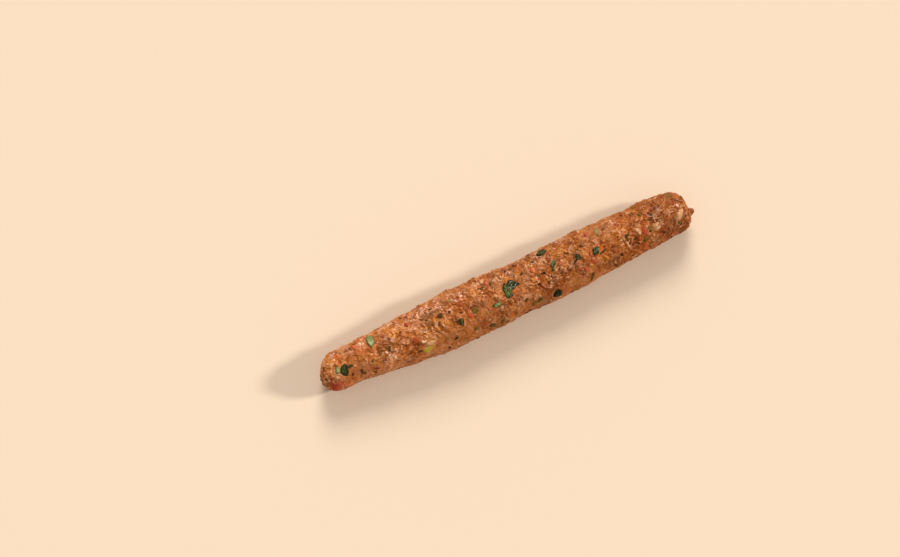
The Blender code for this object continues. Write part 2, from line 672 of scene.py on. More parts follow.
@dataclass
class Meat:
    """The roll's minced meat: skin, relief and finish."""

    texture: MinceTexture = field(default_factory=MinceTexture)
    finish: "MeatFinish" = field(default_factory=lambda: MeatFinish(MinceTexture()))
    base_rise: float = 0.0030

    def relief_tree(self) -> GeometryTree:
        """The Geometry Nodes tree that raises the grains on the skin."""
        sizes = self.texture
        tree = GeometryTree(
            "Mince relief",
            {
                **sizes.field_values(),
                "Grain Depth": sizes.grain_depth,
                "Crumb Depth": sizes.crumb_depth,
                "Strand Depth": sizes.strand_depth,
                "Thread Depth": sizes.thread_depth,
                "Lump Size": sizes.lump_size,
                "Lump Depth": sizes.lump_depth,
                "Knob Size": sizes.knob_size,
                "Knob Depth": sizes.knob_depth,
                "Calm Size": sizes.calm_size,
                "Calm Share": sizes.calm_share,
                "Base Rise": self.base_rise,
                "Pit Depth": sizes.pit_depth,
            },
        )
        desk, given = tree.desk, tree.given.outputs
        place = desk.add("GeometryNodeInputPosition").outputs[0]
        grains = desk.add("GeometryNodeGroup", node_tree=mince_field("GeometryNodeTree"))
        desk.feed(grains.inputs["Place"], place)
        for name in sizes.SCALARS:
            desk.feed(grains.inputs[name], given[name])
        found = grains.outputs
        grain = pebble(desk, found["Grain Edge"], 0.34)
        crumb = pebble(desk, found["Crumb Edge"], 0.30)
        lump = desk.math("SUBTRACT", desk.noise(place, given["Lump Size"], 2.0).outputs["Fac"], 0.5)
        knob = desk.math("SUBTRACT", desk.noise(place, given["Knob Size"], 1.0).outputs["Fac"], 0.5)
        proud = desk.math("ADD", desk.math("MULTIPLY", found["Grain Height"], 0.6), 0.4)
        grain_rise = desk.math("MULTIPLY", grain, proud)
        calm = self.calm_mask(desk, place, given["Calm Size"])
        lively = desk.math("SUBTRACT", 1.0, desk.math("MULTIPLY", calm, given["Calm Share"]))
        layers = (
            (desk.math("SUBTRACT", grain_rise, 0.65), given["Grain Depth"]),
            (desk.math("SUBTRACT", crumb, 0.75), given["Crumb Depth"]),
            (desk.math("SUBTRACT", found["Strand"], 0.5), given["Strand Depth"]),
            (desk.math("SUBTRACT", found["Thread"], 0.4), given["Thread Depth"]),
            (desk.math("MULTIPLY", knob, 2.0), given["Knob Depth"]),
        )
        rise: Value = 0.0
        for share, depth in layers:
            rise = desk.math("ADD", rise, desk.math("MULTIPLY", share, depth))
        rise = desk.math("MULTIPLY", rise, lively)
        rise = desk.math("SUBTRACT", rise, desk.math("MULTIPLY", found["Pit"], given["Pit Depth"]))
        nest = desk.named(NEST)
        rise = desk.math("MULTIPLY", rise, desk.math("SUBTRACT", 1.0, desk.math("MULTIPLY", nest, 0.85)))
        swell = desk.math("MULTIPLY", desk.math("MULTIPLY", lump, 2.0), given["Lump Depth"])
        rise = desk.math("ADD", rise, swell)
        height = desk.split(place)[2]
        free = desk.out(
            desk.add(
                "ShaderNodeMapRange",
                {"Value": height, "From Min": 0.0, "From Max": given["Base Rise"]},
                interpolation_type="SMOOTHSTEP",
            ),
            "Result",
        )
        rise = desk.math("MULTIPLY", rise, free)
        out = desk.vector("SCALE", desk.add("GeometryNodeInputNormal").outputs[0], rise)
        level = desk.math("ADD", desk.math("MULTIPLY", grain_rise, 0.6), desk.math("MULTIPLY", crumb, 0.4))
        level = desk.math("ADD", level, desk.math("MULTIPLY", knob, 1.4))
        level = desk.math("MULTIPLY", level, desk.math("SUBTRACT", 1.0, found["Pit"]))
        marked = tree.store(given["Geometry"], "POINT", **{SEAT: place, PROUD: level, CALM: calm})
        raised = desk.add("GeometryNodeSetPosition", {"Geometry": marked, "Offset": out})
        tree.finish(raised.outputs[0], self.finish.material())
        return tree

    @staticmethod
    def calm_mask(desk: NodeDesk, place: Socket, size: Value) -> Socket:
        """Where the meat is smoother: most of the side that lay on the grill, and little of the blunt end.

        Args:
            desk: The tree it is worked out in.
            place: The place on the skin.
            size: The size of the smooth patches.

        Returns:
            A share from 0 to 1.
        """
        along, across, _ = desk.split(place)
        grilled = desk.ramp(across, -0.0130, -0.0040, 0.16, 0.0)
        torn = desk.ramp(along, 0.0500, 0.0720, 0.0, 0.14)
        cloud = desk.math("ADD", desk.noise(place, size, 2.0).outputs["Fac"], grilled)
        return desk.ramp(desk.math("SUBTRACT", cloud, torn), 0.50, 0.66)

    @staticmethod
    def mark_nests(skin: bpy.types.Object, kinds: tuple["Chips", ...]) -> None:
        """Marks where chopped pieces press the meat flat.

        Args:
            skin: The smooth skin.
            kinds: The chopped pieces.
        """
        surface = Surface(skin)
        places = surface.places(skin.data)
        nest = np.max([chips.cover(surface, places) for chips in kinds], axis=0)
        layer = skin.data.attributes.new(NEST, "FLOAT", "POINT")
        layer.data.foreach_set("value", nest)

    def build(self, kinds: tuple["Chips", ...]) -> bpy.types.Object:
        """The finished meat, which stands for the CAD roll.

        Args:
            kinds: The chopped pieces that will lie in it.

        Returns:
            The finished piece.
        """
        skin = RollSkin(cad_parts[NODE]).build()
        self.mark_nests(skin, kinds)
        self.relief_tree().apply(skin)
        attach(skin, BODY)
        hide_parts(NODE)
        return skin


@dataclass(frozen=True)
class MeatFinish:
    """Browned, greasy mince: a different tint for each grain, golden patches, pale fat strands, painted shade in
    crevices, gaps and pits, painted highlights on the grain tops and a painted sheen on the far side.
    """

    texture: MinceTexture
    tints: tuple[tuple[float, Colour], ...] = (
        (0.00, (0.205, 0.042, 0.005)),
        (0.25, (0.285, 0.065, 0.009)),
        (0.50, (0.362, 0.092, 0.013)),
        (0.75, (0.432, 0.126, 0.021)),
        (1.00, (0.525, 0.183, 0.046)),
    )
    # Painted shade for the crevices and gaps between grains.
    crevice_shade: Colour = (0.120, 0.028, 0.004)
    # Painted shade for the sunk pits.
    pit_shade: Colour = (0.085, 0.025, 0.004)
    sauce: Colour = (0.360, 0.036, 0.008)
    patches: tuple[tuple[Colour, float, float, float, float], ...] = (
        ((0.500, 0.170, 0.016), 0.0100, 0.53, 0.66, 0.60),
        ((0.430, 0.075, 0.010), 0.0080, 0.55, 0.66, 0.45),
        ((0.540, 0.220, 0.080), 0.0090, 0.50, 0.64, 0.60),
        ((0.170, 0.052, 0.012), 0.0090, 0.53, 0.65, 0.70),
    )
    grilled: Colour = (0.375, 0.114, 0.026)
    # Pale colour of fat strands, also used as a painted highlight on the grain tops.
    pale_fat_and_highlight: Colour = (0.745, 0.372, 0.196)
    roughness: float = 0.45
    casts: tuple[tuple[float, float, float, Colour], ...] = (
        (-1.0, 0.020, 0.085, (1.23, 1.31, 1.52)),
        (1.0, 0.045, 0.080, (0.96, 0.87, 0.72)),
        (1.0, 0.076, 0.098, (0.84, 0.85, 0.93)),
    )
    # Painted sheen: the far (+Y) side is made paler and bluer.
    far_side_sheen: Colour = (1.04, 1.10, 1.28)
    smear: tuple[float, float, float] = (-0.1075, -0.0085, 0.0120)
    plain_end: tuple[float, float] = (0.062, 0.088)

    def material(self) -> bpy.types.Material:
        """The finish as a material that reads the skin's own attributes."""
        material = bpy.data.materials.new("cooked_mince")
        material.use_nodes = True
        desk = NodeDesk(material.node_tree)
        shader = material.node_tree.nodes["Principled BSDF"]
        place = desk.add("ShaderNodeAttribute", attribute_name=SEAT).outputs["Vector"]
        proud = desk.add("ShaderNodeAttribute", attribute_name=PROUD).outputs["Fac"]
        calm = desk.add("ShaderNodeAttribute", attribute_name=CALM).outputs["Fac"]
        grains = desk.add("ShaderNodeGroup", node_tree=mince_field("ShaderNodeTree"))
        desk.feed(grains.inputs["Place"], place)
        for name, value in self.texture.field_values().items():
            grains.inputs[name].default_value = value
        found = grains.outputs
        shares = ((found["Grain Tint"], 0.6), (found["Crumb Tint"], 0.4))
        blend = desk.math("ADD", *(desk.math("MULTIPLY", tint, share) for tint, share in shares))
        colour = desk.palette(blend, self.tints)
        along, across, _ = desk.split(place)
        even = desk.ramp(along, *self.plain_end, 1.0, 0.35)
        for patch, size, low, high, share in self.patches:
            shifted = desk.vector("ADD", place, tuple(10 * part for part in patch))
            cloud = desk.noise(shifted, size, 3.0, 0.6).outputs["Fac"]
            shown = desk.math("MULTIPLY", desk.ramp(cloud, low, high, 0.0, share), even)
            colour = desk.mix(shown, colour, patch)
        colour = desk.mix(desk.math("MULTIPLY", calm, 0.48), colour, self.grilled)
        kernel = desk.math(
            "MULTIPLY", desk.ramp(found["Crumb Edge"], 0.12, 0.30), desk.ramp(found["Crumb Tint"], 0.55, 0.70)
        )
        ridge = desk.math("MAXIMUM", desk.math("MULTIPLY", found["Strand"], 0.85), kernel)
        ridge = desk.math("MAXIMUM", ridge, desk.math("MULTIPLY", found["Thread"], 0.65))
        # Grain tops that stand out get the pale colour too: a painted highlight.
        ridge = desk.math("MAXIMUM", ridge, desk.ramp(proud, 0.90, 1.30))
        lively = desk.math("SUBTRACT", 1.0, desk.math("MULTIPLY", calm, 0.6))
        cluster = desk.ramp(desk.noise(place, 0.0060, 2.0).outputs["Fac"], 0.40, 0.62, 0.15, 1.0)
        # The pale colour on ridges is partly the fat strands' own colour and partly a painted highlight.
        pale_fat_and_highlight = desk.math("MULTIPLY", desk.ramp(ridge, 0.50, 1.0, 0.0, 0.70), lively)
        pale_fat_and_highlight = desk.math("MULTIPLY", pale_fat_and_highlight, cluster)
        colour = desk.mix(pale_fat_and_highlight, colour, self.pale_fat_and_highlight)
        # Painted shade: the lowest places between grains are mixed towards a dark colour.
        deep = desk.ramp(proud, 0.05, 0.42, 0.68, 0.0)
        colour = desk.mix(deep, colour, self.crevice_shade)
        # Painted shade along the gaps between crumbs, in noisy patches.
        gap_shade_patches = desk.ramp(desk.noise(place, 0.0052, 2.0).outputs["Fac"], 0.46, 0.60, 0.0, 0.50)
        gap_shade = desk.math("MULTIPLY", desk.ramp(found["Crumb Edge"], 0.03, 0.13, 1.0, 0.0), gap_shade_patches)
        colour = desk.mix(desk.math("MULTIPLY", gap_shade, lively), colour, self.crevice_shade)
        # Painted shade in the pits.
        colour = desk.mix(desk.math("MULTIPLY", found["Pit"], 0.85), colour, self.pit_shade)
        away = desk.vector("LENGTH", desk.vector("SUBTRACT", place, self.smear))
        spots = desk.ramp(desk.noise(place, 0.0034, 2.0).outputs["Fac"], 0.44, 0.56)
        film = desk.math("MULTIPLY", desk.ramp(away, 0.0040, 0.0100, 0.85, 0.0), spots)
        colour = desk.mix(film, colour, self.sauce)
        for way, low, high, cast in self.casts:
            share = desk.ramp(desk.math("MULTIPLY", along, way), low, high)
            colour = desk.vector("MULTIPLY", colour, desk.mix(share, (1.0, 1.0, 1.0), cast))
        # Painted sheen on the far (+Y) side.
        back = desk.mix(desk.ramp(across, 0.0020, 0.0120), (1.0, 1.0, 1.0), self.far_side_sheen)
        desk.feed(shader.inputs["Base Color"], desk.vector("MULTIPLY", colour, back))
        shader.inputs["Roughness"].default_value = self.roughness
        shader.inputs["Subsurface Weight"].default_value = 0.30
        shader.inputs["Subsurface Radius"].default_value = (1.0, 0.45, 0.25)
        shader.inputs["Subsurface Scale"].default_value = 0.0011
        shader.inputs["Specular IOR Level"].default_value = 0.06
        wet = desk.math("MULTIPLY", desk.ramp(ridge, 0.45, 0.95, 0.0, 0.56), cluster)
        desk.feed(shader.inputs["Coat Weight"], wet)
        shader.inputs["Coat Roughness"].default_value = 0.19
        fine = desk.noise(place, 0.0006, 3.0, 0.6).outputs["Fac"]
        bump = desk.add("ShaderNodeBump", {"Height": fine, "Strength": 0.32, "Distance": 0.0003})
        desk.feed(shader.inputs["Normal"], bump.outputs["Normal"])
        return material


@dataclass(frozen=True)
class BitFinish:
    """A chopped herb or vegetable: a row of tints, a pattern through it and a film of fat."""

    name: str
    tints: tuple[tuple[float, Colour], ...]
    pattern: Pattern
    mark: Colour
    mark_share: float
    pattern_size: float
    roughness: float = 0.50
    wet: float = 0.35
    gloss: float = 0.12
    drift: float = 0.9
    rim: Colour = (0.180, 0.050, 0.010)
    rim_share: float = 0.5
    rim_start: float = 0.55
    mark_floor: float = 0.05
    film_size: float = 0.0016
    bump: float = 0.6

    def material(self) -> bpy.types.Material:
        """The finish as a material that reads each piece's own tint."""
        material = bpy.data.materials.new(self.name)
        material.use_nodes = True
        desk = NodeDesk(material.node_tree)
        shader = material.node_tree.nodes["Principled BSDF"]
        place = desk.add("ShaderNodeTexCoord").outputs["Object"]
        tint = desk.add("ShaderNodeAttribute", attribute_name=TINT).outputs["Fac"]
        cloud = desk.noise(place, 2.0 * self.pattern_size, 2.0).outputs["Fac"]
        drift = desk.math("MULTIPLY", desk.math("SUBTRACT", cloud, 0.5), self.drift)
        colour = desk.palette(desk.math("ADD", tint, drift, clamp=True), self.tints)
        marks = self.marks(desk, place)
        bright = desk.math("ADD", desk.math("MULTIPLY", tint, 1.1), self.mark_floor, clamp=True)
        shown = desk.math("MULTIPLY", desk.math("MULTIPLY", marks, self.mark_share), bright)
        colour = desk.mix(shown, colour, self.mark)
        rim = desk.split(desk.add("ShaderNodeAttribute", attribute_name=FLAT).outputs["Vector"])[2]
        colour = desk.mix(desk.ramp(rim, self.rim_start, 0.95, 0.0, self.rim_share), colour, self.rim)
        desk.feed(shader.inputs["Base Color"], colour)
        film = desk.add("ShaderNodeGroup", node_tree=grease_film())
        desk.feed(film.inputs["Place"], place)
        film.inputs["Size"].default_value = self.film_size
        film.inputs["Amount"].default_value = self.wet
        film.inputs["Roughness"].default_value = self.roughness
        desk.feed(shader.inputs["Roughness"], film.outputs["Roughness"])
        desk.feed(shader.inputs["Coat Weight"], film.outputs["Wet"])
        shader.inputs["Coat Roughness"].default_value = 0.16
        shader.inputs["Specular IOR Level"].default_value = self.gloss
        relief = desk.math("ADD", marks, desk.math("MULTIPLY", film.outputs["Ripple"], 0.5))
        bump = desk.add("ShaderNodeBump", {"Height": relief, "Strength": self.bump, "Distance": 0.0003})
        desk.feed(shader.inputs["Normal"], bump.outputs["Normal"])
        return material

    def marks(self, desk: NodeDesk, place: Socket) -> Socket:
        """Where the pattern shows.

        Args:
            desk: The material's tree.
            place: The place on the piece.

        Returns:
            A share from 0 to 1.
        """
        if self.pattern is Pattern.VEINS:
            flat = desk.add("ShaderNodeAttribute", attribute_name=FLAT).outputs["Vector"]
            length, width, _ = desk.split(flat)
            rib = desk.math("ABSOLUTE", width)
            waver = desk.noise(place, 1.6 * self.pattern_size, 2.0).outputs["Fac"]
            bent = desk.math("ADD", length, desk.math("MULTIPLY", waver, 1.6 * self.pattern_size))
            branch = desk.math("PINGPONG", desk.math("SUBTRACT", bent, rib), 0.5 * self.pattern_size)
            veins = desk.ramp(branch, 0.0, 0.28 * self.pattern_size, 0.8, 0.0)
            broken = desk.ramp(desk.noise(place, 0.7 * self.pattern_size, 2.0).outputs["Fac"], 0.42, 0.58, 0.15, 1.0)
            veins = desk.math("MULTIPLY", veins, broken)
            return desk.math("MAXIMUM", veins, desk.ramp(rib, 0.00006, 0.00030, 0.9, 0.0))
        if self.pattern is Pattern.FIBRES:
            flat = desk.add("ShaderNodeAttribute", attribute_name=FLAT).outputs["Vector"]
            drawn = desk.vector("MULTIPLY", flat, (0.22, 1.0, 1.0))
            return desk.ramp(desk.noise(drawn, self.pattern_size, 2.0).outputs["Fac"], 0.40, 0.62)
        return desk.ramp(desk.noise(place, self.pattern_size, 3.0, 0.6).outputs["Fac"], 0.48, 0.70)


PARSLEY = BitFinish(
    name="cooked_parsley",
    tints=(
        (0.00, (0.011, 0.011, 0.001)),
        (0.35, (0.038, 0.043, 0.005)),
        (0.65, (0.100, 0.122, 0.020)),
        (1.00, (0.350, 0.330, 0.120)),
    ),
    pattern=Pattern.VEINS,
    mark=(0.360, 0.380, 0.190),
    mark_share=0.85,
    pattern_size=0.0020,
    wet=0.26,
    gloss=0.03,
    drift=1.4,
    rim=(0.016, 0.014, 0.002),
    rim_share=0.7,
)
# Its pale vein marks stand partly for veins and partly for painted highlight stripes along them.
FOLDED_PARSLEY = replace(
    PARSLEY,
    name="folded_parsley",
    mark=(0.420, 0.440, 0.250),
    mark_floor=0.55,
    pattern_size=0.0019,
    wet=0.55,
)
CHOPPED_HERB = BitFinish(
    name="chopped_herb",
    tints=(
        (0.00, (0.052, 0.019, 0.001)),
        (0.35, (0.112, 0.058, 0.007)),
        (0.65, (0.235, 0.138, 0.026)),
        (1.00, (0.400, 0.270, 0.095)),
    ),
    pattern=Pattern.FLESH,
    mark=(0.260, 0.190, 0.055),
    mark_share=0.45,
    pattern_size=0.0009,
    wet=0.06,
    gloss=0.06,
    drift=1.7,
    rim=(0.150, 0.058, 0.008),
    rim_share=0.75,
    rim_start=0.35,
)
RED_PEPPER = BitFinish(
    name="roast_red_pepper",
    tints=(
        (0.00, (0.260, 0.030, 0.005)),
        (0.50, (0.450, 0.066, 0.012)),
        (1.00, (0.580, 0.130, 0.024)),
    ),
    pattern=Pattern.FLESH,
    mark=(0.640, 0.190, 0.060),
    mark_share=0.45,
    pattern_size=0.0012,
    rim=(0.220, 0.060, 0.010),
)
ONION = BitFinish(
    name="fried_onion",
    tints=(
        (0.00, (0.500, 0.200, 0.070)),
        (0.50, (0.660, 0.340, 0.150)),
        (1.00, (0.800, 0.510, 0.290)),
    ),
    pattern=Pattern.FLESH,
    mark=(0.860, 0.590, 0.380),
    mark_share=0.55,
    pattern_size=0.0017,
    drift=1.5,
    rim=(0.400, 0.135, 0.030),
    rim_share=0.95,
    rim_start=0.20,
    bump=0.45,
)
GREEN_PEPPER = BitFinish(
    name="roast_green_pepper",
    tints=(
        (0.00, (0.340, 0.190, 0.014)),
        (0.50, (0.470, 0.300, 0.026)),
        (1.00, (0.640, 0.400, 0.100)),
    ),
    pattern=Pattern.FLESH,
    mark=(0.660, 0.440, 0.140),
    mark_share=0.5,
    pattern_size=0.0012,
    rim=(0.400, 0.165, 0.022),
    rim_share=0.9,
    rim_start=0.25,
)


class Surface:
    """The finished meat as a surface that pieces are laid on."""

    reach = 0.004

    def __init__(self, meat: bpy.types.Object) -> None:
        """Reads the meat's smooth skin and its raised grains, if it has them yet.

        Args:
            meat: The meat.
        """
        mesh = meat.data
        faces = [tuple(face.vertices) for face in mesh.polygons]
        places = self.places(mesh)
        self.raised = BVHTree.FromPolygons(places.tolist(), faces)
        self.far_tip = Vector(places[np.argmax(places[:, 0])])
        if SEAT in mesh.attributes:
            flat = np.empty(places.size)
            mesh.attributes[SEAT].data.foreach_get("vector", flat)
            places = flat.reshape(-1, 3)
        self.smooth = BVHTree.FromPolygons(places.tolist(), faces)
        self.axis_height = RollSkin.axis_height

    @staticmethod
    def places(mesh: bpy.types.Mesh) -> np.ndarray:
        """Where each vertex of a mesh is."""
        flat = np.empty(3 * len(mesh.vertices))
        mesh.vertices.foreach_get("co", flat)
        return flat.reshape(-1, 3)

    def spot(self, along: float, around: float) -> tuple[Vector, Vector]:
        """A place on the smooth skin.

        Args:
            along: Its X.
            around: Its angle from the top towards -Y, in degrees.

        Returns:
            The point and its outward normal.
        """
        turn = math.radians(around)
        out = Vector((0.0, -math.sin(turn), math.cos(turn)))
        start = Vector((along, 0.0, self.axis_height))
        point, normal, _, _ = self.smooth.ray_cast(start, out)
        return point, normal if normal.dot(out) > 0.0 else -normal

    def lay(self, point: Vector, out: Vector) -> tuple[Vector, Vector, float]:
        """Drops a point onto the skin.

        Args:
            point: A point near the skin.
            out: The way that is outwards there.

        Returns:
            The point on the smooth skin, its normal, and how far the grains stand out there.
        """
        start = point + self.reach * out
        smooth, normal, _, smooth_drop = self.smooth.ray_cast(start, -out)
        if smooth is None:
            return point, out, 0.0
        raised_drop = self.raised.ray_cast(start, -out)[3]
        return smooth, normal, smooth_drop - (raised_drop or smooth_drop)


@dataclass(frozen=True)
class Chip:
    """One chopped piece: its place along and around the roll, its size, its turn and its tint."""

    along: float
    around: float
    length: float
    width: float
    turn: float = 0.0
    tint: float = 0.5


@dataclass(frozen=True)
class Cut:
    """How a kind of chopped piece is shaped.

    The centre stands `rise` above the grains and the rim lies `sink` below them. A higher
    `crown` keeps the top flat further out. `fold` lifts the sides along a middle line, and
    `ripple` crumples the top.
    """

    corners: int
    per_edge: int
    rings: int
    rise: float
    sink: float
    crown: float
    roundness: float
    teeth: float = 0.0
    fold: float = 0.0
    ripple: float = 0.0
    unevenness: float = 0.22


@dataclass
class Chips:
    """Chopped pieces of one kind, laid on the meat as one piece."""

    name: str
    slot: Slot
    finish: BitFinish
    cut: Cut
    chips: tuple[Chip, ...]
    seed: int = 1
    ripple_size: float = 0.0016
    nest_rim: float = 0.45
    nest_reach: float = 0.005
    nest_share: float = 1.0
    base_gap: float = 0.0002

    @staticmethod
    def frame(chip: Chip, surface: Surface) -> tuple[Vector, Vector, Vector, Vector]:
        """Where a chip lies.

        Args:
            chip: The chip.
            surface: The meat.

        Returns:
            Its centre, its outward way, the way of its length and the way of its width.
        """
        centre, out = surface.spot(chip.along, chip.around)
        side = out.cross(Vector((1.0, 0.0, 0.0))).normalized()
        front = side.cross(out)
        turn = math.radians(chip.turn)
        axis_a = math.cos(turn) * front + math.sin(turn) * side
        return centre, out, axis_a, out.cross(axis_a)

    def cover(self, surface: Surface, places: np.ndarray) -> np.ndarray:
        """How much the chips cover places on the skin.

        Args:
            surface: The meat.
            places: The places.

        Returns:
            A share from 0 to 1 for each place.
        """
        covered = np.zeros(len(places))
        for chip in self.chips:
            centre, out, axis_a, axis_b = (np.array(part) for part in self.frame(chip, surface))
            away = places - centre
            reach = np.hypot(away @ axis_a * 2.0 / chip.length, away @ axis_b * 2.0 / chip.width)
            share = np.clip((1.0 + self.nest_rim - reach) / self.nest_rim, 0.0, 1.0)
            covered = np.maximum(covered, share * (np.abs(away @ out) < self.nest_reach))
        return self.nest_share * covered

    def outline(self, chip: Chip, dice: random.Random) -> list[tuple[float, float]]:
        """The cut edge of a chip, lying flat round its centre.

        Args:
            chip: The chip.
            dice: Where its unevenness comes from.

        Returns:
            Points round the edge.
        """
        cut = self.cut
        step = 2 * math.pi / cut.corners
        corners = []
        for index in range(cut.corners):
            angle = step * (index + dice.uniform(-0.25, 0.25))
            size = 1.0 + dice.uniform(-cut.unevenness, cut.unevenness)
            corners.append((size * math.cos(angle), size * math.sin(angle)))
        edge = []
        for index, start in enumerate(corners):
            end = corners[(index + 1) % cut.corners]
            for part in range(cut.per_edge):
                share = part / cut.per_edge
                x, y = (a + share * (b - a) for a, b in zip(start, end))
                length = math.hypot(x, y)
                size = (1.0 - cut.roundness) * length + cut.roundness
                size += cut.teeth * (part % 2) * dice.uniform(0.4, 1.0)
                edge.append((0.5 * chip.length * size * x / length, 0.5 * chip.width * size * y / length))
        return edge

    def lift(self, share: float, across: float) -> float:
        """How far the top stands above the grains.

        Args:
            share: The distance from the centre to the rim, from 0 to 1.
            across: The distance from the middle line, as a share of half the width.

        Returns:
            The height, below 0 where it is sunk.
        """
        cut = self.cut
        return cut.rise - (cut.rise + cut.sink) * share**cut.crown + cut.fold * abs(across)

    def add(self, mesh: bmesh.types.BMesh, chip: Chip, surface: Surface, dice: random.Random) -> None:
        """Adds one closed chip, which follows the roll's curve.

        Args:
            mesh: The mesh that gets it.
            chip: The chip.
            surface: The meat.
            dice: Where its unevenness comes from.
        """
        centre, out, axis_a, axis_b = self.frame(chip, surface)
        edge = self.outline(chip, dice)
        grains = [surface.lay(centre + 0.6 * (a * axis_a + b * axis_b), out)[2] for a, b in edge]
        level = sum(grains) / len(grains)
        tint_layer = mesh.verts.layers.float[TINT]
        flat_layer = mesh.verts.layers.float_vector[FLAT]

        def vertex(a: float, b: float, height: float, rim: float) -> bmesh.types.BMVert:
            """A vertex at a place on the chip, at a height over the grains."""
            point, normal, _ = surface.lay(centre + a * axis_a + b * axis_b, out)
            made = mesh.verts.new(point + normal * (level + height))
            made.co.z = max(made.co.z, self.base_gap)
            made[tint_layer] = chip.tint
            made[flat_layer] = (a, b, rim)
            return made

        rows = []
        for ring in range(1, self.cut.rings + 1):
            share = ring / self.cut.rings
            row = []
            for a, b in edge:
                height = self.lift(share, 2.0 * b * share / chip.width)
                spot = Vector((a * share, b * share, chip.along)) / self.ripple_size
                height += self.cut.ripple * noise.noise(spot)
                row.append(vertex(a * share, b * share, height, share))
            rows.append(row)
        depth = -2.0 * self.cut.sink - self.cut.rise
        base = [vertex(0.8 * a, 0.8 * b, depth, 1.0) for a, b in edge]
        rows.append(base)
        top = vertex(0.0, 0.0, self.lift(0.0, 0.0), 0.0)
        floor = vertex(0.0, 0.0, depth, 1.0)
        count = len(edge)
        for index in range(count):
            after = (index + 1) % count
            mesh.faces.new((top, rows[0][index], rows[0][after]))
            for inner, outer in zip(rows, rows[1:]):
                mesh.faces.new((inner[index], outer[index], outer[after], inner[after]))
            mesh.faces.new((floor, base[after], base[index]))

    def build(self, surface: Surface) -> bpy.types.Object:
        """Lays every chip.

        Args:
            surface: The meat.

        Returns:
            The finished piece.
        """
        mesh = bmesh.new()
        mesh.verts.layers.float.new(TINT)
        mesh.verts.layers.float_vector.new(FLAT)
        dice = random.Random(self.seed)
        for chip in self.chips:
            self.add(mesh, chip, surface, dice)
        data = bpy.data.meshes.new(self.name)
        bmesh.ops.recalc_face_normals(mesh, faces=mesh.faces)
        mesh.to_mesh(data)
        mesh.free()
        data.materials.append(self.finish.material())
        data.shade_smooth()
        piece = bpy.data.objects.new(self.name, data)
        bpy.context.scene.collection.objects.link(piece)
        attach(piece, BODY)
        return piece


@dataclass(frozen=True)
class Bundle:
    """Torn strands that lie side by side: where, how many, how long, which way and how thick."""

    along: float
    around: float
    count: int
    length: float
    turn: float
    spread: float
    thickness: float


